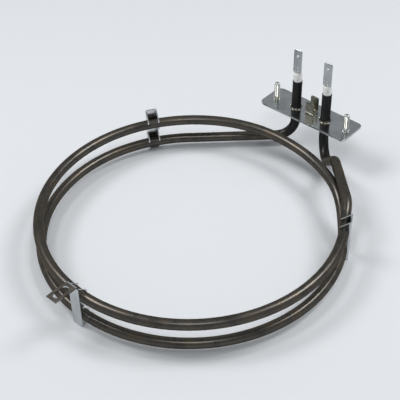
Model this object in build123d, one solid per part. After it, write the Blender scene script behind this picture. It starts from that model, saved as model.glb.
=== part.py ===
from build123d import *

import os
from math import acos, atan2, cos, degrees, hypot, pi, radians, sin, sqrt, tan

os.makedirs("parts", exist_ok=True)

# Two-turn ring-shaped tubular heating element, the kind that sits round a fan.
#
# A resistance coil lies in compacted magnesia inside one steel tube. The tube makes two
# flat turns, one above the other, and its two ends come up through a small fixing plate,
# where each is closed by a ceramic bead with a push-on tab above it. Two threaded studs
# stand on the plate, and three sheet brackets hold the turns apart.
#
# Millimetres, +Z up. The origin lies on the plate's top face, half-way between the two
# studs, which stand along X. The turns lie on the -Y side of the plate.

# ---------------------------------------------------------------- driving sizes
# Sheathed tube
TUBE_D = 6.5
TUBE_WALL = 0.5
RING_R = 94.0                # centre line of each turn
TURN_PITCH = 15.3            # from the lower turn to the upper one
RING_X = -2.0                # middle of the turns, from the origin
RING_Y = -119.4
PLATE_DROP = 24.0            # plate's top face above the lower turn's centre line
LEG_SPACING = 24.2           # between the two ends of the tube
TUBE_END_Z = 21.0            # cut ends of the tube above the plate

# How the tube leaves and changes turns, azimuths in degrees about the ring's middle
LEFT_BEND_R = 13.0           # left leg into the lower turn's straight strand
CLIMB_START = 32.0           # lower turn ends, the climb begins
CLIMB_UNDER = 59.0           # climbing strand passes under the outgoing one
CLIMB_END = 120.0            # climb ends, upper turn begins
LEAVE_START = 33.0           # upper turn ends, the outgoing strand begins
LEAVE_RISE = 3.5             # outgoing strand above the upper turn
LEAVE_SPREAD = 2.0           # outgoing strand outside the turn's circle
CROSS_NESTING = 0.7          # the crossing strands lie this much less than a tube apart in height
DIP_UPPER_R = 9.0            # outgoing strand's bend down to the low point
DIP_LOWER_R = 11.0           # bend from the low point up into the right leg
DIP_ANGLE = 40.0

# Studs
STUD_SPACING = 57.6
STUD_D = 4.0
STUD_H = 12.0
STUD_TIP_R = 0.9
STUD_FLANGE_D = 5.6
STUD_FLANGE_T = 0.8

# Fixing plate
PLATE_MARGIN = 6.2           # from a stud's axis to the plate's end
PLATE_W = 23.0
PLATE_T = 1.5
PLATE_CORNER_R = 3.5
PLATE_KEY_CORNER_R = 5.0     # one corner is rounder than the others

# Braze rings
BRAZE_D = 8.5
BRAZE_H = 1.3
BRAZE_LAND = 0.3             # flat top of the ring, round the tube
BRAZE_HOLLOW = 0.35          # share of the ring's width and height where its cheek is deepest

# Support brackets: folded sheet, one channel round both turns
SHEET = 0.8
SHEET_BEND_R = 0.4           # inside radius of a fold
BRACKET_W = 8.0
BRACKET_AZIMUTHS = {"front": 269.0, "back": 148.0, "right": 30.3}
FINGER_REACH = 2.8           # finger tips inside the tube's centre line
FINGER_OVER = 0.65           # metal above the tube at a finger tip
FINGER_UNDER = 0.35          # metal below the tube at a finger tip
CHANNEL_BELOW = 3.65         # channel below the lower turn
CHANNEL_ABOVE = 6.05         # web above the upper turn
FLANGE_ABOVE = 5.25          # flanges' top corner at the web, above the upper turn
GAP_DEPTH = 1.6              # root of the gap between the middle fingers, from the web
FOOT_NECK_H = 2.15           # front bracket's foot, top face above the flanges
FOOT_REACH = 15.6            # foot's end outside the web
FOOT_BEND_R = 0.6
FOOT_SLOT_W = 4.5
FOOT_SLOT_L = 10.5
FOOT_SLOT_END = 2.4          # metal between the slot and the foot's end

# Earth tab: a folded channel that stands on the plate
EARTH_L = 6.3
EARTH_WALL_SPAN = 6.6
EARTH_Y = 1.3
EARTH_FRONT_H = 9.0
EARTH_BACK_H = 11.0
EARTH_CORNER = 0.8

# Ends of the element
PIN_D = 2.4
PIN_BOTTOM_Z = -8.0          # pin meets the coil here, below the plate
PIN_TOP_Z = 33.5
PIN_CHAMFER = 0.3
PIN_FLAT_DEPTH = 0.5         # flat for the tab, cut into the pin's side
COIL_D = 3.1                 # outside of the wound wire
FILLING_TOP = 5.5            # filling stops this far below the tube's end
SEAL_DEPTH = 2.0             # solid part of the end seal, above the filling
SEAL_SHY = 0.2               # seal's rim below the cut end of the tube
BEAD_SPIGOT_D = 4.6
BEAD_SHOULDER_D = 5.6
BEAD_TOP_D = 5.9
BEAD_FLARE_H = 2.2
BEAD_H = 6.2                 # bead above the tube's end
BEAD_TOP_R = 0.4
TAB_W = 6.3
TAB_T = 0.8
TAB_H = 17.6
TAB_CORNER = 1.2
TAB_LEAD = 0.25
TAB_HOLE_D = 1.8
TAB_HOLE_DROP = 4.7          # hole's centre below the tab's tip
TAB_LIFT = 0.5               # tab's foot above the bead

# Clearances, each on a radius or a face
FILL_GAP = 0.05              # what lies inside the tube
BORE_GAP = 0.05              # pin, bead and seal in one another
PLATE_GAP = 0.05             # tube in the plate and in its braze ring
BRACKET_GAP = 0.1            # tube in the brackets
BEAD_GAP = 0.3               # bead's shoulder over the cut end of the tube

# ---------------------------------------------------------------- worked out once
TUBE_R = TUBE_D / 2
TUBE_BORE_R = TUBE_R - TUBE_WALL
CORE_R = TUBE_BORE_R - FILL_GAP
LOWER_Z = -PLATE_DROP
UPPER_Z = LOWER_Z + TURN_PITCH
CROSS_DROP = TUBE_D - CROSS_NESTING - LEAVE_RISE
LEG_X = {"left": -LEG_SPACING / 2, "right": LEG_SPACING / 2}
STUD_X = {"left": -STUD_SPACING / 2, "right": STUD_SPACING / 2}
FILLING_Z = TUBE_END_Z - FILLING_TOP
CAVITY_Z = FILLING_Z + SEAL_DEPTH
BEAD_TOP_Z = TUBE_END_Z + BEAD_GAP + BEAD_H
TAB_Z = BEAD_TOP_Z + TAB_LIFT
PLATE_L = STUD_SPACING + 2 * PLATE_MARGIN
PIN_FLAT = PIN_D / 2 - PIN_FLAT_DEPTH      # from the pin's axis to its flat
FLANGE_TOP_Z = UPPER_Z + TUBE_R + FLANGE_ABOVE
SAME = 1e-6                  # two lengths this close are the same


# ---------------------------------------------------------------- centre line of the tube
def ring_point(azimuth, z, radius=RING_R):
    a = radians(azimuth)
    return Vector(RING_X + radius * cos(a), RING_Y + radius * sin(a), z)


def ring_direction(azimuth):
    a = radians(azimuth)
    return Vector(-sin(a), cos(a), 0)


def tangent_azimuth(point, side, radius):
    """Azimuth where a line from the point touches the circle; side is +1 or -1."""
    dx, dy = point.X - RING_X, point.Y - RING_Y
    return degrees(atan2(dy, dx)) + side * degrees(acos(radius / hypot(dx, dy)))


def biarc(start, start_dir, end, end_dir):
    """Two arcs that leave start along start_dir, meet tangent and reach end along end_dir."""
    span = end - start
    both = start_dir + end_dir
    turn = 1 - start_dir.dot(end_dir)
    along = span.dot(both)
    reach = (sqrt(along**2 + 2 * turn * span.dot(span)) - along) / (2 * turn)
    middle = (start + end + (start_dir - end_dir) * reach) * 0.5
    chord = (middle - start).normalized()
    middle_dir = chord * (2 * start_dir.dot(chord)) - start_dir
    return [
        TangentArc(start, middle, tangent=start_dir),
        TangentArc(middle, end, tangent=middle_dir),
    ]


def left_leg(top_z):
    """Down from the left end and round one bend into the lower turn."""
    foot = Vector(LEG_X["left"], 0, LOWER_Z)
    touch_azimuth = tangent_azimuth(foot, +1, RING_R)
    touch = ring_point(touch_azimuth, LOWER_Z)
    outward = (touch - foot).normalized()
    bend_top = foot + Vector(0, 0, LEFT_BEND_R)
    bend_end = foot + outward * LEFT_BEND_R
    edges = [
        Line(Vector(foot.X, 0, top_z), bend_top),
        TangentArc(bend_top, bend_end, tangent=(0, 0, -1)),
        Line(bend_end, touch),
    ]
    return edges, touch_azimuth


def turns(touch_azimuth):
    """Lower turn, the climb under the outgoing strand, and the upper turn."""
    under_z = UPPER_Z - CROSS_DROP
    under = ring_point(CLIMB_UNDER, under_z)
    under_dir = ring_direction(CLIMB_UNDER)
    lower_end = ring_point(CLIMB_START, LOWER_Z)
    upper_start = ring_point(CLIMB_END, UPPER_Z)
    middle = (RING_X, RING_Y)
    return [
        CenterArc((*middle, LOWER_Z), RING_R, touch_azimuth, 360 + CLIMB_START - touch_azimuth),
        *biarc(lower_end, ring_direction(CLIMB_START), under, under_dir),
        *biarc(under, under_dir, upper_start, ring_direction(CLIMB_END)),
        CenterArc((*middle, UPPER_Z), RING_R, CLIMB_END, 360 + LEAVE_START - CLIMB_END),
    ]


def right_leg(top_z):
    """From the upper turn out over the climb, down to the low point and up to the right end."""
    leg = Vector(LEG_X["right"], 0, 0)
    leave_r = RING_R + LEAVE_SPREAD
    leave_z = UPPER_Z + LEAVE_RISE
    start = ring_point(tangent_azimuth(leg, -1, leave_r), leave_z, leave_r)
    level = Vector(leg.X - start.X, leg.Y - start.Y, 0)
    run = level.length
    level = level.normalized()
    slope = radians(DIP_ANGLE)

    def at(distance, z):
        return Vector(start.X, start.Y, z) + level * distance

    # heights and distances along the strand of the bends' ends
    leg_bottom_z = LOWER_Z + DIP_LOWER_R
    lower_in = run - DIP_LOWER_R * (1 + sin(slope))
    lower_in_z = leg_bottom_z - DIP_LOWER_R * cos(slope)
    upper_out_z = leave_z - DIP_UPPER_R * (1 - cos(slope))
    upper_out = lower_in - (upper_out_z - lower_in_z) / tan(slope)
    upper_in = upper_out - DIP_UPPER_R * sin(slope)
    down = level * cos(slope) - Vector(0, 0, sin(slope))
    return [
        *biarc(ring_point(LEAVE_START, UPPER_Z), ring_direction(LEAVE_START), start, level),
        Line(start, at(upper_in, leave_z)),
        TangentArc(at(upper_in, leave_z), at(upper_out, upper_out_z), tangent=level),
        Line(at(upper_out, upper_out_z), at(lower_in, lower_in_z)),
        TangentArc(at(lower_in, lower_in_z), at(run, leg_bottom_z), tangent=down),
        Line(at(run, leg_bottom_z), Vector(leg.X, 0, top_z)),
    ]


def centre_line(top_z):
    """The tube's whole centre line between the two legs, both cut at top_z."""
    left, touch_azimuth = left_leg(top_z)
    return Wire([*left, *turns(touch_azimuth), *right_leg(top_z)])


def along_tube(section, top_z):
    """Sweeps a flat section, drawn about the tube's axis, along the centre line."""
    path = centre_line(top_z)
    start = Plane(origin=path @ 0, z_dir=path % 0)
    return sweep(start * section, path=path)


# ---------------------------------------------------------------- tube and what fills it
def make_sheath_tube():
    return along_tube(Circle(TUBE_R) - Circle(TUBE_BORE_R), TUBE_END_Z)


def make_magnesia_filling():
    """Compacted powder: round the coil for most of the way, round the cold pins at the ends."""
    filling = along_tube(Circle(CORE_R) - Circle(COIL_D / 2 + FILL_GAP), PIN_BOTTOM_Z)
    for x in LEG_X.values():
        ring = Circle(CORE_R) - Circle(PIN_D / 2 + BORE_GAP)
        filling += Pos(x, 0, PIN_BOTTOM_Z) * extrude(ring, FILLING_Z - PIN_BOTTOM_Z)
    return filling


def make_resistance_coil():
    """The wound wire as the round rod that its turns fill, from one cold pin to the other."""
    return along_tube(Circle(COIL_D / 2), PIN_BOTTOM_Z)


# ---------------------------------------------------------------- ends of the element
def make_cold_pin():
    """Terminal pin, with a flat at its top for the tab. Drawn on the Z axis."""
    pin = Pos(0, 0, PIN_BOTTOM_Z) * extrude(Circle(PIN_D / 2), PIN_TOP_Z - PIN_BOTTOM_Z)
    pin = chamfer(pin.edges().group_by(Axis.Z)[-1], PIN_CHAMFER)
    flat = Box(PIN_D, PIN_D, PIN_TOP_Z, align=(Align.CENTER, Align.MAX, Align.MIN))
    return pin - Pos(0, -PIN_FLAT, BEAD_TOP_Z + TAB_LIFT / 2) * flat


def make_end_seal():
    """Resin plug in the mouth of the tube, cupped to take the bead's spigot."""
    top = TUBE_END_Z - SEAL_SHY
    seal = Pos(0, 0, FILLING_Z) * extrude(Circle(CORE_R), top - FILLING_Z)
    seal -= Pos(0, 0, CAVITY_Z) * extrude(Circle(BEAD_SPIGOT_D / 2 + BORE_GAP), top - CAVITY_Z)
    return seal - Pos(0, 0, FILLING_Z) * extrude(Circle(PIN_D / 2 + BORE_GAP), SEAL_DEPTH)


def make_end_bead():
    """Ceramic bead: a spigot inside the tube, a flare above it and a rounded top."""
    shoulder_z = TUBE_END_Z + BEAD_GAP
    bore_r = PIN_D / 2 + BORE_GAP
    outline = Polyline(
        (bore_r, CAVITY_Z),
        (BEAD_SPIGOT_D / 2, CAVITY_Z),
        (BEAD_SPIGOT_D / 2, shoulder_z),
        (BEAD_SHOULDER_D / 2, shoulder_z),
        (BEAD_TOP_D / 2, shoulder_z + BEAD_FLARE_H),
        (BEAD_TOP_D / 2, BEAD_TOP_Z),
        (bore_r, BEAD_TOP_Z),
        close=True,
    )
    profile = make_face(outline)
    rim = profile.vertices().group_by(Axis.Y)[-1].sort_by(Axis.X)[-1]
    profile = fillet(rim, BEAD_TOP_R)
    return revolve(Plane.XZ * profile, Axis.Z)


def make_terminal_tab():
    """Push-on tab, face to face with the pin's flat, with a retaining hole near its tip."""
    blade = Rectangle(TAB_W, TAB_H)
    blade = chamfer(blade.vertices().group_by(Axis.Y)[-1], TAB_CORNER)
    blade -= Pos(0, TAB_H / 2 - TAB_HOLE_DROP) * Circle(TAB_HOLE_D / 2)
    tab = extrude(Plane.XZ * blade, TAB_T)
    tab = chamfer(tab.edges().group_by(Axis.Z)[-1].filter_by(Axis.X), TAB_LEAD)
    return Pos(0, -PIN_FLAT, TAB_Z + TAB_H / 2) * tab


# ---------------------------------------------------------------- plate and what stands on it
def make_mounting_plate():
    outline = Rectangle(PLATE_L, PLATE_W)
    corners = outline.vertices().sort_by(Axis.X)
    key_corner = corners[:2].sort_by(Axis.Y)[-1]
    outline = fillet(key_corner, PLATE_KEY_CORNER_R)
    plain = [
        v for v in outline.vertices()
        if abs(abs(v.X) - PLATE_L / 2) < SAME and abs(abs(v.Y) - PLATE_W / 2) < SAME
    ]
    outline = fillet(plain, PLATE_CORNER_R)
    for x in LEG_X.values():
        outline -= Pos(x, 0) * Circle(TUBE_R + PLATE_GAP)
    return extrude(outline, -PLATE_T)


def make_stud():
    """Weld stud: a thin flange on the plate and a shank with a rounded tip."""
    flange = extrude(Circle(STUD_FLANGE_D / 2), STUD_FLANGE_T)
    shank = extrude(Circle(STUD_D / 2), STUD_H)
    shank = fillet(shank.edges().group_by(Axis.Z)[-1], STUD_TIP_R)
    return flange + shank


def make_braze_ring():
    """Fillet of braze round the tube on the plate, hollow-cheeked as a melted ring sets."""
    inner = TUBE_R + PLATE_GAP
    land = inner + BRAZE_LAND
    cheek = ThreePointArc(
        (BRAZE_D / 2, 0),
        (land + (BRAZE_D / 2 - land) * BRAZE_HOLLOW, BRAZE_H * BRAZE_HOLLOW),
        (land, BRAZE_H),
    )
    outline = [
        Line((inner, 0), (BRAZE_D / 2, 0)),
        cheek,
        Line((land, BRAZE_H), (inner, BRAZE_H)),
        Line((inner, BRAZE_H), (inner, 0)),
    ]
    return revolve(Plane.XZ * make_face(outline), Axis.Z)


def make_earth_tab():
    """Folded channel with a lower front wall and a higher back wall."""
    half = EARTH_WALL_SPAN / 2
    outside = Pos(0, EARTH_BACK_H / 2) * Rectangle(EARTH_WALL_SPAN, EARTH_BACK_H)
    outside = fillet(outside.vertices().group_by(Axis.Y)[0], SHEET + SHEET_BEND_R)
    inside = Pos(0, SHEET + EARTH_BACK_H / 2) * Rectangle(EARTH_WALL_SPAN - 2 * SHEET, EARTH_BACK_H)
    inside = fillet(inside.vertices().group_by(Axis.Y)[0], SHEET_BEND_R)
    above_front = Rectangle(half, EARTH_BACK_H, align=(Align.MAX, Align.MIN))
    section = outside - inside - Pos(0, EARTH_FRONT_H) * above_front
    channel = Pos(-EARTH_L / 2, 0) * extrude(Plane.YZ * section, EARTH_L)
    for side, height in ((-1, EARTH_FRONT_H), (1, EARTH_BACK_H)):
        wall = channel.edges().filter_by(Axis.Y).filter_by(
            lambda e: abs(e.center().Z - height) < SAME and side * e.center().Y > 0
        )
        channel = chamfer(wall, EARTH_CORNER)
    return Pos(0, EARTH_Y, 0) * channel


# ---------------------------------------------------------------- support brackets
# Drawn about the ring's middle with X outward, Y along the tube and Z up.
WEB_R = RING_R + TUBE_R + BRACKET_GAP        # inner face of the web
TIP_R = RING_R - FINGER_REACH                # finger tips
CHANNEL_BOTTOM = LOWER_Z - TUBE_R - CHANNEL_BELOW


def flange_outline():
    """Side view of the two flanges, before the tubes' notches are cut."""
    outside = WEB_R + SHEET
    gap_root = WEB_R - GAP_DEPTH
    return make_face(
        Polyline(
            (outside, CHANNEL_BOTTOM),
            (TIP_R, LOWER_Z - TUBE_R - FINGER_UNDER),
            (TIP_R, LOWER_Z + TUBE_R + FINGER_OVER),
            (gap_root, (LOWER_Z + UPPER_Z) / 2),
            (TIP_R, UPPER_Z - TUBE_R - FINGER_UNDER),
            (TIP_R, UPPER_Z + TUBE_R + FINGER_OVER),
            (WEB_R, FLANGE_TOP_Z),
            (outside, FLANGE_TOP_Z),
            close=True,
        )
    )


def web_outline(top_z):
    """Side view of the web alone."""
    height = top_z - CHANNEL_BOTTOM
    web = Rectangle(SHEET, height, align=(Align.MIN, Align.MIN))
    return Pos(WEB_R, CHANNEL_BOTTOM) * web


def tube_notches():
    """Two rings, a clearance larger than the tube, that cut the notches in the fingers."""
    section = Circle(TUBE_R + BRACKET_GAP)
    level = Plane.XZ * Pos(RING_R, 0) * section
    ring = revolve(level, Axis.Z)
    return Pos(0, 0, LOWER_Z) * ring + Pos(0, 0, UPPER_Z) * ring


def make_channel(web_top):
    """U-shaped channel: web outside the ring, a notched flange on each side."""
    depth = WEB_R + SHEET - TIP_R
    plan = Rectangle(depth, BRACKET_W, align=(Align.MAX, Align.CENTER))
    plan = fillet(plan.vertices().group_by(Axis.X)[-1], SHEET + SHEET_BEND_R)
    room = Pos(-SHEET, 0) * Rectangle(depth, BRACKET_W - 2 * SHEET, align=(Align.MAX, Align.CENTER))
    room = fillet(room.vertices().group_by(Axis.X)[-1], SHEET_BEND_R)
    plan = Pos(WEB_R + SHEET, 0) * (plan - room)
    column = Pos(0, 0, CHANNEL_BOTTOM) * extrude(plan, web_top - CHANNEL_BOTTOM)
    side = extrude(Plane.XZ * (flange_outline() + web_outline(web_top)), BRACKET_W, both=True)
    return (column & side) - tube_notches()


def make_foot():
    """Slotted foot, folded outward from the top of the front bracket's web."""
    length = SHEET + FOOT_REACH
    outside = Rectangle(length, FOOT_NECK_H, align=(Align.MIN, Align.MIN))
    outside = fillet(outside.vertices().group_by(Axis.Y)[-1].sort_by(Axis.X)[0], SHEET + FOOT_BEND_R)
    inside = Rectangle(length, FOOT_NECK_H - SHEET, align=(Align.MIN, Align.MIN))
    inside = fillet(inside.vertices().group_by(Axis.Y)[-1].sort_by(Axis.X)[0], FOOT_BEND_R)
    profile = Pos(WEB_R, FLANGE_TOP_Z) * (outside - Pos(SHEET, 0) * inside)
    foot = extrude(Plane.XZ * profile, BRACKET_W / 2, both=True)
    slot_middle = WEB_R + length - FOOT_SLOT_END - FOOT_SLOT_L / 2
    slot = extrude(SlotOverall(FOOT_SLOT_L, FOOT_SLOT_W), SHEET)
    return foot - Pos(slot_middle, 0, FLANGE_TOP_Z + FOOT_NECK_H - SHEET) * slot


def place_bracket(shape, azimuth):
    return Pos(RING_X, RING_Y, 0) * Rot(0, 0, azimuth) * shape


def make_plain_bracket(azimuth):
    return place_bracket(make_channel(UPPER_Z + TUBE_R + CHANNEL_ABOVE), azimuth)


def make_footed_bracket(azimuth):
    return place_bracket(make_channel(FLANGE_TOP_Z) + make_foot(), azimuth)


# ---------------------------------------------------------------- all the pieces
nodes = {
    "sheath_tube": make_sheath_tube(),
    "magnesia_filling": make_magnesia_filling(),
    "resistance_coil": make_resistance_coil(),
    "mounting_plate": make_mounting_plate(),
    "earth_tab": make_earth_tab(),
    "support_bracket_front": make_footed_bracket(BRACKET_AZIMUTHS["front"]),
    "support_bracket_back": make_plain_bracket(BRACKET_AZIMUTHS["back"]),
    "support_bracket_right": make_plain_bracket(BRACKET_AZIMUTHS["right"]),
}
for side in ("left", "right"):
    leg = Pos(LEG_X[side], 0, 0)
    nodes[f"cold_pin_{side}"] = leg * make_cold_pin()
    nodes[f"end_seal_{side}"] = leg * make_end_seal()
    nodes[f"end_bead_{side}"] = leg * make_end_bead()
    nodes[f"terminal_tab_{side}"] = leg * make_terminal_tab()
    nodes[f"braze_ring_{side}"] = leg * make_braze_ring()
    nodes[f"stud_{side}"] = Pos(STUD_X[side], 0, 0) * make_stud()

for name, shape in nodes.items():
    export_step(shape, f"parts/{name}.step")

length = centre_line(TUBE_END_Z).length
section = pi * (TUBE_R**2 - TUBE_BORE_R**2)
print("tube length", round(length, 1), "mm")
print("sheath volume", round(nodes["sheath_tube"].volume), "section times length", round(section * length))
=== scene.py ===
import math

import bmesh
import bpy
from bpy.props import FloatProperty, FloatVectorProperty, IntProperty, PointerProperty
from mathutils import Matrix, Vector


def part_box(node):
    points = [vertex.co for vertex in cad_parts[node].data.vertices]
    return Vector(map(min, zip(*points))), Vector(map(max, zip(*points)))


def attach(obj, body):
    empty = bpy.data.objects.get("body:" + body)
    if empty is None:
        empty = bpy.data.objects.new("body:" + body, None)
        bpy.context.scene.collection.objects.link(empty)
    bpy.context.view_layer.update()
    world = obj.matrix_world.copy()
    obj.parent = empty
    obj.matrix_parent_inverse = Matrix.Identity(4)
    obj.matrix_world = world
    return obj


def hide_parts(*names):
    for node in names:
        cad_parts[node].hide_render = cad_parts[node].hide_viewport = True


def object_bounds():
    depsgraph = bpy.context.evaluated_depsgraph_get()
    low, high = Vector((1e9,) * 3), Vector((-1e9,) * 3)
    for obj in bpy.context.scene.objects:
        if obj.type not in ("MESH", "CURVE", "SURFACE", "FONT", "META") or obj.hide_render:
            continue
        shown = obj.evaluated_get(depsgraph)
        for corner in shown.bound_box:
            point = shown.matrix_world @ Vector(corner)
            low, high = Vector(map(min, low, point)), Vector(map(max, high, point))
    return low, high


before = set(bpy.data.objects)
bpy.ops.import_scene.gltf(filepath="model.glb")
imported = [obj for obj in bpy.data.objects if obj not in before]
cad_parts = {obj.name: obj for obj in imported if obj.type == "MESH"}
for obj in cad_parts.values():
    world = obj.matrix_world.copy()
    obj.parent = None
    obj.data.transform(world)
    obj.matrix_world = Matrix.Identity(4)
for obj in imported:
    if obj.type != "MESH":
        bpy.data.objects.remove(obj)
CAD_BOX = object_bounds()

bl_info = {
    "name": "Fan oven ring heater",
    "version": (1, 0, 0),
    "blender": (4, 5, 0),
    "location": "3D View > Sidebar > Ring heater",
    "description": "Dresses a two-turn sheathed heating element with its plate, studs and brackets",
    "category": "Object",
}

MM = 0.001
SIDES = ("left", "right")
BRACKETS = ("front", "back", "right")
BODY = "root"
FLOOR_Z = CAD_BOX[0][2]
TOLERANCE = 1e-6                 # metres, for points that should coincide
FOOT_REACH = 15.0 * MM           # from the foot's tip back to its fold
FOOT_LEVEL = 0.9                 # least upward share of a normal on the foot's two faces
STUD_FLANGE_T = 0.8 * MM
STUD_FLANGE_EDGE = 0.2 * MM
THREAD_HALF = 0.49               # half the ridge's section, in pitches: neighbours don't meet
THREAD_RUN_OUT = 0.7             # length over which the thread fades at its ends, in pitches
THREAD_SUNK = 0.97               # how deep the ridge's foot sits, as a share of the core
WELD_X, WELD_Z = (-1.6, 0.8), (31.5, 28.9)               # mm, marks on each terminal tab
GLINT_DROPS = {"left": (-3.7, -1.4), "right": (-3.8, -1.0)}    # mm, braze drops where the fillet catches the lamp; their bright finish is a painted highlight
DROP_LIFT = 0.35 * MM            # middle of a drop's foot above the plate
RING_MIDDLE = Vector((-2, -110, -20)) * MM               # what the lamps are aimed at
FLOOR_RADIUS = 1.3
SIDE_BOX, FRONT_BOX = 0.4, 0.35  # metres, sides of the square soft boxes
ROOM_LEVEL = 0.65
CAMERA_PLACE = Vector((310.322, -458.71, 400.658)) * MM
CAMERA_AZIMUTH, CAMERA_ELEVATION, CAMERA_ROLL = 41.963, 41.0, -1.105    # degrees


def linear(hex_colour):
    """An sRGB hex colour as linear red, green and blue."""
    parts = [int(hex_colour[i:i + 2], 16) / 255 for i in (1, 3, 5)]
    return tuple(p / 12.92 if p <= 0.04045 else ((p + 0.055) / 1.055) ** 2.4 for p in parts)


def colour(name, description, hex_colour):
    """A colour setting."""
    return FloatVectorProperty(
        name=name, description=description, subtype="COLOR", min=0.0, max=1.0,
        default=linear(hex_colour),
    )


def length(name, description, size_mm):
    """A length setting, given in millimetres."""
    return FloatProperty(
        name=name, description=description, subtype="DISTANCE", unit="LENGTH", default=size_mm * MM
    )


class HeaterSizes(bpy.types.PropertyGroup):
    """Sizes of the details added to the heater."""

    sheet_edge: length("Sheet edge", "Rounding left on a stamped sheet edge", 0.1)
    plate_edge: length("Plate edge", "Rounding left on the fixing plate's edge", 0.2)
    thread_pitch: length("Thread pitch", "Pitch of the studs' metric thread", 0.7)
    thread_core: length("Thread core", "Diameter at the bottom of the studs' thread", 3.24)
    stud_tip: length("Stud tip", "Rounding of the stud's free end", 0.6)
    weld_mark: length("Weld mark", "Diameter of one resistance weld mark on a terminal tab", 1.1)
    weld_rise: length("Weld rise", "How far a weld mark stands off the tab", 0.4)
    braze_waves: length("Braze waves", "Unevenness of the hand-fed braze", 0.12)
    # The braze drops stand where the fillet glints, and their bright finish is a painted highlight.
    braze_drop: length(
        "Braze drop", "Diameter of the drop left where the braze rod was drawn away", 1.6
    )
    bead_waves: length("Bead waves", "Unevenness of the fired bead", 0.04)


class HeaterColours(bpy.types.PropertyGroup):
    """Colours of the heater's finishes."""

    oxide: colour("Oxide", "Main colour of the annealed sheath", "#4f4c48")
    oxide_warm: colour("Warm oxide", "Brown tint in the sheath's oxide", "#575046")
    oxide_dark: colour("Dark oxide", "Dark patches in the sheath's oxide", "#403e3b")
    oxide_edge: colour("Oxide edge", "Tint of the oxide's reflection at a low angle", "#a8a095")
    # Painted shade: the colour named scale paints the sheath nearly black near the plate, for its
    # shade and dark reflections.
    scale: colour("Scale", "Nearly black sheath near the plate", "#24272a")
    sheet: colour("Sheet", "Bright rolled stainless sheet", "#c6c9cb")
    sheet_stain: colour("Sheet stain", "Duller film on the bright sheet", "#b2b6b8")
    # Partly painted reflection: the foot's brown-grey stands for a heat film and for the brown the
    # foot reflects.
    tint: colour("Heat tint", "Brown tint on the front bracket's foot", "#8f8880")
    foot_dark_film_and_reflection: colour("Dark heat tint", "Darker part of that tint", "#736b62")
    strip: colour("Strip", "Tinned strip of the earth tab", "#8f8e80")
    strip_stain: colour("Strip stain", "Darker stain on the earth tab", "#62625a")
    zinc: colour("Zinc", "Zinc plating on the studs", "#cfd0c4")
    # Partly painted shade: the braze and flux colours are darkened for the shade at the base of
    # each leg; the flux patches are real.
    braze: colour("Braze", "Silver braze round the tube", "#77736a")
    flux: colour("Flux", "Darker flux left on the braze", "#403d39")
    ceramic: colour("Ceramic", "Fired end bead", "#e4e4e0")
    ceramic_grey: colour("Grey ceramic", "Handling marks on the bead", "#d0d1cf")
    nickel: colour("Nickel", "Nickel plated terminal steel", "#a0a4a6")
    resin: colour("Resin", "Silicone resin of the end seals", "#c9c2b2")
    magnesia: colour("Magnesia", "Pressed magnesium oxide powder", "#e9e6dc")
    wire: colour("Wire", "Resistance wire", "#8f8a84")


class StageSettings(bpy.types.PropertyGroup):
    """The floor, the lamps and the camera."""

    floor: colour("Floor", "Plain pale floor", "#c8cbce")
    lens: FloatProperty(
        name="Lens", description="Focal length on a 36 mm sensor",
        subtype="DISTANCE_CAMERA", default=89.935,
    )
    side_power: FloatProperty(
        name="Side boxes", description="Power of the soft box on each side",
        subtype="POWER", default=6.0,
    )
    front_power: FloatProperty(
        name="Front box", description="Power of the small soft box in front",
        subtype="POWER", default=2.2,
    )
    thread_steps: IntProperty(
        name="Thread steps", description="Faces round one turn of the thread", default=24
    )


# ---------------------------------------------------------------- materials


def add_node(tree, kind, values=None, links=None, **settings):
    """Add one node with its settings, its sockets' values and its links."""
    node = tree.nodes.new("ShaderNode" + kind)
    for name, value in settings.items():
        setattr(node, name, value)
    for name, value in (values or {}).items():
        node.inputs[name].default_value = value
    for name, socket in (links or {}).items():
        tree.links.new(socket, node.inputs[name])
    return node


def new_material(name):
    """An empty material with its shader, its node tree and the object's own coordinates."""
    material = bpy.data.materials.new(name)
    material.use_nodes = True
    tree = material.node_tree
    shader = tree.nodes["Principled BSDF"]
    place = add_node(tree, "TexCoord").outputs["Object"]
    return material, tree, shader, place


def colour_ramp(tree, factor, stops):
    """The colour output of a ramp whose stops are (position, linear colour)."""
    ramp = add_node(tree, "ValToRGB", links={"Fac": factor})
    elements = ramp.color_ramp.elements
    elements[0].position, elements[-1].position = stops[0][0], stops[-1][0]
    for position, _ in stops[1:-1]:
        elements.new(position)
    for element, (_, tint) in zip(elements, stops):
        element.color = (*tint, 1.0)
    return ramp.outputs["Color"]


def pattern_scale(size_mm):
    """Noise scale whose grains are about size_mm across on Object coordinates."""
    return 1.0 / (size_mm * MM)


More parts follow.
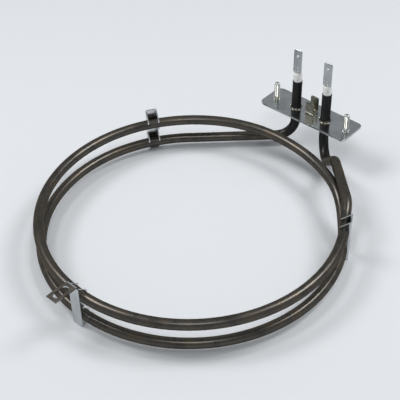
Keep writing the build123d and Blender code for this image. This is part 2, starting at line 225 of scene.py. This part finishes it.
def annealed_steel_sheath(colours):
    """Annealed stainless sheath: satin grey-brown oxide, with painted shade that turns it nearly
    black near the plate.
    """
    material, tree, shader, place = new_material("annealed_steel_sheath")
    # Oxide clouds some 9 mm across, and a tarnish grain of 0.8 mm, as coarse as it needs to show.
    clouds = add_node(
        tree, "TexNoise", {"Scale": pattern_scale(9), "Detail": 4, "Roughness": 0.6},
        {"Vector": place},
    )
    grain = add_node(
        tree, "TexNoise", {"Scale": pattern_scale(0.8), "Detail": 2}, {"Vector": place}
    )
    tint = colour_ramp(tree, clouds.outputs["Fac"], (
        (0.3, tuple(colours.oxide_dark)),
        (0.5, tuple(colours.oxide)),
        (0.7, tuple(colours.oxide_warm)),
    ))
    grained = add_node(
        tree, "Mix", {"Factor": 0.12}, {6: tint, 7: grain.outputs["Color"]},
        data_type="RGBA", blend_type="SOFT_LIGHT",
    )
    back = add_node(tree, "SeparateXYZ", links={"Vector": place}).outputs["Y"]
    # Painted shade: the tube is painted nearly black over the bends that lead from the ring up into
    # the legs, where the plate shades them and they reflect dark surroundings.
    scale = add_node(
        tree, "MapRange", {"From Min": -22 * MM, "From Max": 4 * MM}, {"Value": back},
        interpolation_type="SMOOTHSTEP",
    )
    finish = add_node(
        tree, "Mix", {7: (*colours.scale, 1.0)},
        {"Factor": scale.outputs["Result"], 6: grained.outputs[2]}, data_type="RGBA",
    )
    gloss = add_node(
        tree, "MapRange", {"From Min": 0.3, "From Max": 0.7, "To Min": 0.25, "To Max": 0.33},
        {"Value": clouds.outputs["Fac"]},
    )
    satin = add_node(
        tree, "Mix", {3: 0.42},
        {"Factor": scale.outputs["Result"], 2: gloss.outputs["Result"]}, data_type="FLOAT",
    )
    bump = add_node(
        tree, "Bump", {"Strength": 0.02, "Distance": 0.03 * MM}, {"Height": grain.outputs["Fac"]}
    )
    shader.inputs["Metallic"].default_value = 0.8
    shader.inputs["Specular Tint"].default_value = (*colours.oxide_edge, 1.0)
    tree.links.new(finish.outputs[2], shader.inputs["Base Color"])
    tree.links.new(satin.outputs[0], shader.inputs["Roughness"])
    tree.links.new(bump.outputs["Normal"], shader.inputs["Normal"])
    return material


def metal(name, tint, stain, stain_mm, roughness, grain_mm, grain_bump):
    """A bare metal: two tints in soft patches, a gloss that follows them, and a fine grain."""
    material, tree, shader, place = new_material(name)
    patches = add_node(
        tree, "TexNoise", {"Scale": pattern_scale(stain_mm), "Detail": 3}, {"Vector": place}
    )
    grain = add_node(
        tree, "TexNoise", {"Scale": pattern_scale(grain_mm), "Detail": 2}, {"Vector": place}
    )
    base = colour_ramp(tree, patches.outputs["Fac"], ((0.35, tuple(stain)), (0.6, tuple(tint))))
    gloss = add_node(
        tree, "MapRange",
        {"From Min": 0.3, "From Max": 0.7, "To Min": roughness[1], "To Max": roughness[0]},
        {"Value": patches.outputs["Fac"]},
    )
    bump = add_node(
        tree, "Bump", {"Strength": grain_bump, "Distance": 0.02 * MM},
        {"Height": grain.outputs["Fac"]},
    )
    shader.inputs["Metallic"].default_value = 1.0
    tree.links.new(base, shader.inputs["Base Color"])
    tree.links.new(gloss.outputs["Result"], shader.inputs["Roughness"])
    tree.links.new(bump.outputs["Normal"], shader.inputs["Normal"])
    return material


def mineral(name, tint, shade, patch_mm, roughness, grain_mm, grain_bump, ior):
    """A fired, pressed or cast mineral or resin: soft patches of two tints and a fine grain."""
    material, tree, shader, place = new_material(name)
    patches = add_node(
        tree, "TexNoise", {"Scale": pattern_scale(patch_mm), "Detail": 4}, {"Vector": place}
    )
    grain = add_node(
        tree, "TexNoise", {"Scale": pattern_scale(grain_mm), "Detail": 3}, {"Vector": place}
    )
    base = colour_ramp(tree, patches.outputs["Fac"], ((0.34, tuple(shade)), (0.56, tuple(tint))))
    gloss = add_node(
        tree, "MapRange", {"To Min": roughness[0], "To Max": roughness[1]},
        {"Value": grain.outputs["Fac"]},
    )
    bump = add_node(
        tree, "Bump", {"Strength": grain_bump, "Distance": 0.05 * MM},
        {"Height": grain.outputs["Fac"]},
    )
    shader.inputs["IOR"].default_value = ior
    tree.links.new(base, shader.inputs["Base Color"])
    tree.links.new(gloss.outputs["Result"], shader.inputs["Roughness"])
    tree.links.new(bump.outputs["Normal"], shader.inputs["Normal"])
    return material


# ---------------------------------------------------------------- modelling helpers


def start_afresh():
    """Leave edit mode and select nothing."""
    if bpy.context.object and bpy.context.object.mode != "OBJECT":
        bpy.ops.object.mode_set(mode="OBJECT")
    bpy.ops.object.select_all(action="DESELECT")


def work_on(piece):
    """Make a piece the only selected one."""
    start_afresh()
    piece.select_set(True)
    bpy.context.view_layer.objects.active = piece


def copy_of(node, name):
    """A new piece with a CAD node's mesh, merged into one skin."""
    piece = bpy.data.objects.new(name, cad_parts[node].data.copy())
    bpy.context.scene.collection.objects.link(piece)
    work_on(piece)
    bpy.ops.mesh.customdata_custom_splitnormals_clear()
    bpy.ops.object.mode_set(mode="EDIT")
    bpy.ops.mesh.select_all(action="SELECT")
    bpy.ops.mesh.remove_doubles(threshold=TOLERANCE)
    bpy.ops.object.mode_set(mode="OBJECT")
    return piece


def merge_flats(piece):
    """Turn the triangles of each flat face into one face."""
    work_on(piece)
    bpy.ops.object.mode_set(mode="EDIT")
    bpy.ops.mesh.select_all(action="SELECT")
    bpy.ops.mesh.dissolve_limited(angle_limit=math.radians(0.5))
    bpy.ops.object.mode_set(mode="OBJECT")


def apply_modifier(piece, kind, **settings):
    """Add a modifier, set it and apply it."""
    work_on(piece)
    modifier = piece.modifiers.new(kind.title(), kind)
    for name, value in settings.items():
        setattr(modifier, name, value)
    bpy.ops.object.modifier_apply(modifier=modifier.name)


def ease_edges(piece, width, segments=2):
    """Round the sharp edges."""
    apply_modifier(
        piece, "BEVEL", width=width, segments=segments, limit_method="ANGLE",
        angle_limit=math.radians(35), use_clamp_overlap=True, harden_normals=False,
    )


def smooth(piece, angle=35):
    """Shade smooth up to an angle in degrees."""
    work_on(piece)
    bpy.ops.object.shade_smooth_by_angle(angle=math.radians(angle))


def even_normals(piece):
    """Keep the large faces flat-looking between their rounded edges."""
    apply_modifier(piece, "WEIGHTED_NORMAL", keep_sharp=True, weight=100, mode="FACE_AREA")


def dress(piece, material):
    """Give a piece its finish, and let it ride on the heater's one body."""
    piece.data.materials.clear()
    piece.data.materials.append(material)
    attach(piece, BODY)


def check_closed(piece):
    """Stop if a piece's skin has a hole."""
    mesh = bmesh.new()
    mesh.from_mesh(piece.data)
    open_edges = sum(1 for edge in mesh.edges if len(edge.link_faces) != 2)
    mesh.free()
    if open_edges:
        raise RuntimeError(f"{piece.name} has {open_edges} open edges")


def select_where(piece, kind, test):
    """In edit mode, select the faces or edges whose middle passes the test, and nothing else."""
    bpy.ops.mesh.select_mode(type="FACE" if kind == "faces" else "EDGE")
    bpy.ops.mesh.select_all(action="DESELECT")
    mesh = bmesh.from_edit_mesh(piece.data)
    for part in getattr(mesh, kind):
        middle = sum((v.co for v in part.verts), Vector()) / len(part.verts)
        if test(middle, part):
            part.select_set(True)
    bmesh.update_edit_mesh(piece.data)


def moved_copy(piece, name, offset):
    """A copy with its own mesh, whose place is in that mesh."""
    copy = bpy.data.objects.new(name, piece.data.copy())
    copy.data.transform(Matrix.Translation(offset))
    bpy.context.scene.collection.objects.link(copy)
    return copy


def join(pieces, name):
    """Join several pieces into the first."""
    start_afresh()
    for piece in pieces:
        piece.select_set(True)
    bpy.context.view_layer.objects.active = pieces[0]
    bpy.ops.object.join()
    pieces[0].name = name
    return pieces[0]


def remove(piece):
    """Take away a pattern piece once its copies are made."""
    bpy.data.objects.remove(piece)


def outward(piece):
    """Point every face outwards."""
    work_on(piece)
    bpy.ops.object.mode_set(mode="EDIT")
    bpy.ops.mesh.select_all(action="SELECT")
    bpy.ops.mesh.normals_make_consistent(inside=False)
    bpy.ops.object.mode_set(mode="OBJECT")


def waves(piece, height, size_mm):
    """Make a surface slightly uneven."""
    clouds = bpy.data.textures.new(piece.name + "_waves", "CLOUDS")
    clouds.noise_scale = size_mm * MM
    apply_modifier(
        piece, "DISPLACE", texture=clouds, strength=height, mid_level=0.5, texture_coords="LOCAL"
    )


# ---------------------------------------------------------------- the heater's pieces


class HEATER_OT_sheath(bpy.types.Operator):
    """The two-turn sheath tube with its dark oxide."""

    bl_idname = "heater.sheath"
    bl_label = "Sheath tube"

    def execute(self, context):
        tube = copy_of("sheath_tube", "sheath")
        smooth(tube, 40)
        dress(tube, annealed_steel_sheath(context.scene.heater_colours))
        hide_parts("sheath_tube")
        return {"FINISHED"}


def dome(radius, rise):
    """A small closed dome at the world's origin, standing up from just under z = 0."""
    start_afresh()
    bpy.ops.mesh.primitive_circle_add(
        vertices=16, radius=radius, fill_type="NGON", location=(0, 0, -rise / 4)
    )
    drop = bpy.context.object
    bpy.ops.object.transform_apply(location=True)
    bpy.ops.object.mode_set(mode="EDIT")
    bpy.ops.mesh.select_all(action="SELECT")
    bpy.ops.mesh.extrude_region_move(TRANSFORM_OT_translate={"value": (0, 0, rise * 0.65)})
    for inset, lift in ((0.14, 0.3), (0.2, 0.2), (0.26, 0.1)):
        bpy.ops.mesh.inset(thickness=radius * inset)
        bpy.ops.transform.translate(value=(0, 0, rise * lift))
    bpy.ops.object.mode_set(mode="OBJECT")
    outward(drop)
    check_closed(drop)
    return drop


class HEATER_OT_sheet_metal(bpy.types.Operator):
    """The fixing plate and the three folded brackets in bright sheet, and the duller earth tab."""

    bl_idname = "heater.sheet_metal"
    bl_label = "Plate and brackets"

    def execute(self, context):
        sizes, colours = context.scene.heater_sizes, context.scene.heater_colours
        # Cold rolled stainless sheet: nearly a mirror, with a faint rolling grain and duller films.
        bright = metal(
            "rolled_stainless_sheet", colours.sheet, colours.sheet_stain, 14, (0.1, 0.2), 0.5, 0.08
        )
        # Tinned steel strip, dulled where it was brazed to the plate.
        dull = metal(
            "tinned_steel_strip", colours.strip, colours.strip_stain, 3, (0.22, 0.36), 0.5, 0.1
        )
        pieces = [
            ("mounting_plate", "fixing_plate", sizes.plate_edge, bright),
            ("earth_tab", "earth_blade", sizes.sheet_edge, dull),
        ]
        pieces += [
            (f"support_bracket_{b}", f"bracket_{b}", sizes.sheet_edge, bright) for b in BRACKETS
        ]
        for node, name, edge, finish in pieces:
            piece = copy_of(node, name)
            merge_flats(piece)
            ease_edges(piece, edge)
            smooth(piece)
            even_normals(piece)
            dress(piece, finish)
            if name == "bracket_front":
                self.paint_foot_film_and_reflection(piece, colours)
            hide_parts(node)
        return {"FINISHED"}

    def paint_foot_film_and_reflection(self, bracket, colours):
        """The folded foot's flat faces are painted brown-grey from its fold outwards: partly a heat
        film, partly a painted reflection.
        """
        # Stainless sheet with a thin oxide film from the heat and a painted brown reflection: still
        # glossy, but brownish grey.
        foot_film_and_reflection = metal(
            "heat_tinted_sheet", colours.tint, colours.foot_dark_film_and_reflection, 4, (0.14, 0.22), 0.5, 0.08
        )
        bracket.data.materials.append(foot_film_and_reflection)
        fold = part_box("support_bracket_front")[0].y + FOOT_REACH
        for face in bracket.data.polygons:
            level = abs(face.normal.z) > FOOT_LEVEL
            if face.center.y < fold and face.center.z > 0 and level:
                face.material_index = 1


class HEATER_OT_studs(bpy.types.Operator):
    """The two threaded studs that stand on the plate."""

    bl_idname = "heater.studs"
    bl_label = "Threaded studs"

    def execute(self, context):
        sizes, colours = context.scene.heater_sizes, context.scene.heater_colours
        # Bright zinc plate over rolled thread: sharp highlights, slightly yellow.
        zinc = metal("zinc_plated_steel", colours.zinc, colours.sheet, 3, (0.16, 0.28), 0.4, 0.1)
        pattern = self.pattern(sizes, context.scene.heater_stage.thread_steps)
        for side in SIDES:
            low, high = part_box("stud_" + side)
            place = Vector(((low.x + high.x) / 2, (low.y + high.y) / 2, low.z))
            stud = moved_copy(pattern, "threaded_stud_" + side, place)
            smooth(stud, 30)
            dress(stud, zinc)
            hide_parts("stud_" + side)
        remove(pattern)
        return {"FINISHED"}

    def pattern(self, sizes, steps):
        """One stud on the world's axis: weld flange, core with a rounded tip, and the thread."""
        low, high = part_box("stud_left")
        height, flange_r = high.z - low.z, (high.x - low.x) / 2
        flange_t, core_r = STUD_FLANGE_T, sizes.thread_core / 2
        start_afresh()
        bpy.ops.mesh.primitive_circle_add(vertices=2 * steps, radius=flange_r, fill_type="NGON")
        core = bpy.context.object
        bpy.ops.object.mode_set(mode="EDIT")
        bpy.ops.mesh.select_all(action="SELECT")
        bpy.ops.mesh.extrude_region_move(TRANSFORM_OT_translate={"value": (0, 0, flange_t)})
        bpy.ops.mesh.inset(thickness=flange_r - core_r)
        bpy.ops.mesh.extrude_region_move(
            TRANSFORM_OT_translate={"value": (0, 0, height - flange_t)}
        )
        select_where(core, "edges", lambda p, e: p.z > height - TOLERANCE)
        bpy.ops.mesh.bevel(offset=sizes.stud_tip, segments=5, affect="EDGES")
        select_where(
            core, "edges",
            lambda p, e: abs(p.z - flange_t) < TOLERANCE
            and min(v.co.xy.length for v in e.verts) > core_r * 1.2,
        )
        bpy.ops.mesh.bevel(offset=STUD_FLANGE_EDGE, segments=3, affect="EDGES")
        bpy.ops.object.mode_set(mode="OBJECT")
        outward(core)
        check_closed(core)
        thread = self.thread(sizes, steps, flange_t, height - sizes.stud_tip)
        return join([core, thread], "stud_pattern")

    def thread(self, sizes, steps, z0, z1):
        """The thread's ridge: a diamond section that the screw modifier carries round the core."""
        core_r, pitch = sizes.thread_core / 2, sizes.thread_pitch
        half = pitch * THREAD_HALF
        turns = int((z1 - z0 - pitch) / pitch)
        start = (z0 + z1 - turns * pitch) / 2
        start_afresh()
        bpy.ops.mesh.primitive_circle_add(
            vertices=4, radius=half, fill_type="NOTHING", location=(core_r, 0, start),
            rotation=(math.pi / 2, 0, 0),
        )
        ridge = bpy.context.object
        bpy.ops.object.transform_apply(location=True, rotation=True, scale=True)
        apply_modifier(
            ridge, "SCREW", axis="Z", screw_offset=pitch, iterations=turns, steps=steps,
            render_steps=steps, use_merge_vertices=False,
        )
        run_out, foot_r = pitch * THREAD_RUN_OUT, core_r * THREAD_SUNK
        for v in ridge.data.vertices:
            ends = min(v.co.z - start, start + turns * pitch - v.co.z)
            fade = max(0.0, min(1.0, ends / run_out + 0.5))
            radius = v.co.xy.length
            if radius > core_r * 0.98:
                v.co.xy *= (foot_r + (radius - foot_r) * fade) / radius
        work_on(ridge)
        bpy.ops.object.mode_set(mode="EDIT")
        bpy.ops.mesh.select_mode(type="EDGE")
        bpy.ops.mesh.select_all(action="DESELECT")
        bpy.ops.mesh.select_non_manifold()
        bpy.ops.mesh.edge_face_add()
        bpy.ops.object.mode_set(mode="OBJECT")
        outward(ridge)
        return ridge


class HEATER_OT_terminals(bpy.types.Operator):
    """The cold pins, the blades welded to them, and the weld marks."""

    bl_idname = "heater.terminals"
    bl_label = "Terminals"

    def execute(self, context):
        sizes, colours = context.scene.heater_sizes, context.scene.heater_colours
        # Nickel plated cold rolled steel: bright, slightly warm grey, with a fine stamping grain.
        nickel = metal(
            "nickel_plated_steel", colours.nickel, colours.sheet_stain, 5, (0.14, 0.26), 0.4, 0.1
        )
        # Where the weld melted it the plating is rounder; the marks' brighter finish is a painted
        # highlight for the glints they catch.
        weld_glint_finish = metal("welded_nickel", colours.zinc, colours.sheet, 1, (0.22, 0.3), 0.3, 0.05)
        mark = self.weld_mark(sizes)
        for side in SIDES:
            blade = copy_of("terminal_tab_" + side, "blade_" + side)
            merge_flats(blade)
            ease_edges(blade, sizes.sheet_edge)
            smooth(blade)
            even_normals(blade)
            low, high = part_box("terminal_tab_" + side)
            middle = (low.x + high.x) / 2
            marks = [
                moved_copy(mark, "mark", (middle + x * MM, low.y, z * MM))
                for x in WELD_X for z in WELD_Z
            ]
            welds = join(marks, "weld_marks_" + side)
            smooth(welds, 60)
            pin = copy_of("cold_pin_" + side, "pin_" + side)
            merge_flats(pin)
            smooth(pin)
            for piece, finish in ((blade, nickel), (welds, weld_glint_finish), (pin, nickel)):
                dress(piece, finish)
            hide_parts("terminal_tab_" + side)
            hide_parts("cold_pin_" + side)
        remove(mark)
        return {"FINISHED"}

    def weld_mark(self, sizes):
        """One weld mark at the world's origin, facing -Y."""
        mark = dome(sizes.weld_mark / 2, sizes.weld_rise)
        mark.data.transform(Matrix.Rotation(math.pi / 2, 4, "X"))
        return mark


class HEATER_OT_brazing(bpy.types.Operator):
    """The braze that closes the plate's holes round the tube's legs."""

    bl_idname = "heater.brazing"
    bl_label = "Braze rings"

    def execute(self, context):
        sizes, colours = context.scene.heater_sizes, context.scene.heater_colours
        # Silver braze, wiped while hot: bright where it flowed, dull where flux stayed; its dark
        # grey is partly painted shade at the base of each leg.
        silver = metal("silver_braze", colours.braze, colours.flux, 1.6, (0.12, 0.3), 0.5, 0.1)
        # Painted highlight: a braze drop finished smooth and brighter than the braze, for the glint
        # on the fillet.
        bright = metal("bright_braze", colours.zinc, colours.sheet, 1.0, (0.1, 0.15), 0.5, 0.05)
        drop = dome(sizes.braze_drop / 2, sizes.braze_drop * 0.4)
        for side in SIDES:
            ring = copy_of("braze_ring_" + side, "brazing_" + side)
            waves(ring, sizes.braze_waves, 1.8)
            smooth(ring, 50)
            dress(ring, silver)
            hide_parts("braze_ring_" + side)
            low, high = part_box("braze_ring_" + side)
            x, y = GLINT_DROPS[side]
            place = (
                (low.x + high.x) / 2 + x * MM, (low.y + high.y) / 2 + y * MM, low.z + DROP_LIFT
            )
            glint_drop = moved_copy(drop, "braze_drop_" + side, place)
            smooth(glint_drop, 60)
            dress(glint_drop, bright)
        remove(drop)
        return {"FINISHED"}


class HEATER_OT_beads(bpy.types.Operator):
    """The ceramic end beads and the resin seals under them."""

    bl_idname = "heater.beads"
    bl_label = "End beads and seals"

    def execute(self, context):
        sizes, colours = context.scene.heater_sizes, context.scene.heater_colours
        # Steatite: a white fired ceramic, matt to satin, with grey handling marks.
        steatite = mineral(
            "steatite_ceramic", colours.ceramic, colours.ceramic_grey, 3, (0.35, 0.55), 0.4, 0.25,
            1.6,
        )
        # Silicone resin: cast, slightly glossy, beige.
        resin = mineral(
            "silicone_resin", colours.resin, colours.flux, 2, (0.25, 0.4), 0.6, 0.1, 1.43
        )
        for side in SIDES:
            bead = copy_of("end_bead_" + side, "bead_" + side)
            waves(bead, sizes.bead_waves, 2.5)
            smooth(bead, 40)
            dress(bead, steatite)
            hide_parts("end_bead_" + side)
            seal = copy_of("end_seal_" + side, "seal_" + side)
            smooth(seal, 40)
            dress(seal, resin)
            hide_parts("end_seal_" + side)
        return {"FINISHED"}


class HEATER_OT_core(bpy.types.Operator):
    """The magnesia filling and the resistance coil inside the sheath."""

    bl_idname = "heater.core"
    bl_label = "Filling and coil"

    def execute(self, context):
        colours = context.scene.heater_colours
        # Magnesium oxide: a pressed white powder, quite matt.
        powder = mineral(
            "pressed_magnesia", colours.magnesia, colours.ceramic_grey, 4, (0.8, 0.95), 0.3, 0.3,
            1.74,
        )
        # Nickel-chromium wire, drawn and annealed grey.
        wire = metal("nickel_chromium_wire", colours.wire, colours.oxide, 4, (0.3, 0.42), 0.4, 0.1)
        for node, material in (("magnesia_filling", powder), ("resistance_coil", wire)):
            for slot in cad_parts[node].material_slots:
                slot.material = material
        return {"FINISHED"}


class HEATER_OT_stage(bpy.types.Operator):
    """The pale floor, the soft lamps and the camera."""

    bl_idname = "heater.stage"
    bl_label = "Floor, lamps and camera"

    def execute(self, context):
        stage = context.scene.heater_stage
        self.floor(stage)
        self.lamps(stage)
        self.world(context.scene)
        self.camera(context.scene, stage)
        context.scene.view_settings.view_transform = "Standard"
        return {"FINISHED"}

    def floor(self, stage):
        """A wide matt floor under the heater."""
        start_afresh()
        bpy.ops.mesh.primitive_circle_add(
            vertices=96, radius=FLOOR_RADIUS, fill_type="NGON", location=(0, 0, FLOOR_Z)
        )
        floor = bpy.context.object
        floor.name = "floor"
        bpy.ops.object.transform_apply(location=True)
        # Matt studio paper: even and dull, with a faint fibre some 2 mm long.
        material, tree, shader, place = new_material("matt_paper")
        fibre = add_node(
            tree, "TexNoise", {"Scale": pattern_scale(2), "Detail": 2}, {"Vector": place}
        )
        bump = add_node(
            tree, "Bump", {"Strength": 0.05, "Distance": 0.02 * MM},
            {"Height": fibre.outputs["Fac"]},
        )
        tree.links.new(bump.outputs["Normal"], shader.inputs["Normal"])
        shader.inputs["Base Color"].default_value = (*stage.floor, 1.0)
        shader.inputs["Roughness"].default_value = 0.8
        shader.inputs["Specular IOR Level"].default_value = 0.2
        floor.data.materials.append(material)

    def lamps(self, stage):
        """A soft box on each side and a small one in front, all aimed at the middle of the ring."""
        for name, place, size, power in (
            ("soft_box_left", (-0.56, -0.40, 0.88), SIDE_BOX, stage.side_power),
            ("soft_box_right", (0.34, 0.41, 0.88), SIDE_BOX, stage.side_power),
            ("soft_box_front", (0.36, -0.52, 0.9), FRONT_BOX, stage.front_power),
        ):
            start_afresh()
            bpy.ops.object.light_add(type="AREA", location=place)
            lamp = bpy.context.object
            lamp.name = name
            aim = (RING_MIDDLE - Vector(place)).to_track_quat("-Z", "Y")
            lamp.rotation_euler = aim.to_euler()
            lamp.data.shape = "SQUARE"
            lamp.data.size = size
            lamp.data.energy = power

    def world(self, scene):
        """A soft grey room: palest round the horizon, darker above it, lighter again overhead."""
        world = bpy.data.worlds.new("room")
        scene.world = world
        world.use_nodes = True
        tree = world.node_tree
        place = add_node(tree, "TexCoord").outputs["Generated"]
        up = add_node(tree, "SeparateXYZ", links={"Vector": place}).outputs["Z"]
        tint = colour_ramp(tree, up, (
            (0.2, linear("#eceef0")), (0.42, linear("#bcbfc2")),
            (0.7, linear("#c8cbce")), (1.0, linear("#d4d4d4")),
        ))
        tree.links.new(tint, tree.nodes["Background"].inputs["Color"])
        tree.nodes["Background"].inputs["Strength"].default_value = ROOM_LEVEL

    def camera(self, scene, stage):
        """The camera, a little above the heater and turned a degree off level."""
        azimuth, elevation, roll = (
            math.radians(angle) for angle in (CAMERA_AZIMUTH, CAMERA_ELEVATION, CAMERA_ROLL)
        )
        ahead = Vector((
            -math.sin(azimuth) * math.cos(elevation),
            math.cos(azimuth) * math.cos(elevation),
            -math.sin(elevation),
        ))
        right = Vector((math.cos(azimuth), math.sin(azimuth), 0))
        up = right.cross(ahead)
        across = right * math.cos(roll) + up * math.sin(roll)
        upward = up * math.cos(roll) - right * math.sin(roll)
        start_afresh()
        bpy.ops.object.camera_add()
        camera = bpy.context.object
        camera.name = "camera"
        turn = Matrix((across, upward, -ahead)).transposed().to_4x4()
        camera.matrix_world = Matrix.Translation(CAMERA_PLACE) @ turn
        camera.data.sensor_width = 36.0
        camera.data.lens = stage.lens
        camera.data.clip_start = 0.01
        scene.camera = camera


OPERATORS = (
    HEATER_OT_sheath, HEATER_OT_sheet_metal, HEATER_OT_studs, HEATER_OT_terminals,
    HEATER_OT_brazing, HEATER_OT_beads, HEATER_OT_core, HEATER_OT_stage,
)


class HEATER_PT_panel(bpy.types.Panel):
    """Lists the heater's pieces and their settings."""

    bl_idname = "HEATER_PT_panel"
    bl_label = "Ring heater"
    bl_space_type = "VIEW_3D"
    bl_region_type = "UI"
    bl_category = "Ring heater"

    def draw(self, context):
        for operator in OPERATORS:
            self.layout.operator(operator.bl_idname)
        scene = context.scene
        for group in (scene.heater_sizes, scene.heater_colours, scene.heater_stage):
            box = self.layout.box()
            for name in group.__annotations__:
                box.prop(group, name)


CLASSES = (HeaterSizes, HeaterColours, StageSettings, *OPERATORS, HEATER_PT_panel)


def register():
    for cls in CLASSES:
        bpy.utils.register_class(cls)
    bpy.types.Scene.heater_sizes = PointerProperty(type=HeaterSizes)
    bpy.types.Scene.heater_colours = PointerProperty(type=HeaterColours)
    bpy.types.Scene.heater_stage = PointerProperty(type=StageSettings)


def unregister():
    del bpy.types.Scene.heater_stage
    del bpy.types.Scene.heater_colours
    del bpy.types.Scene.heater_sizes
    for cls in reversed(CLASSES):
        bpy.utils.unregister_class(cls)


def main():
    """Make every piece in order."""
    register()
    for operator in OPERATORS:
        group, name = operator.bl_idname.split(".")
        getattr(getattr(bpy.ops, group), name)()


if __name__ == "__main__":
    main()
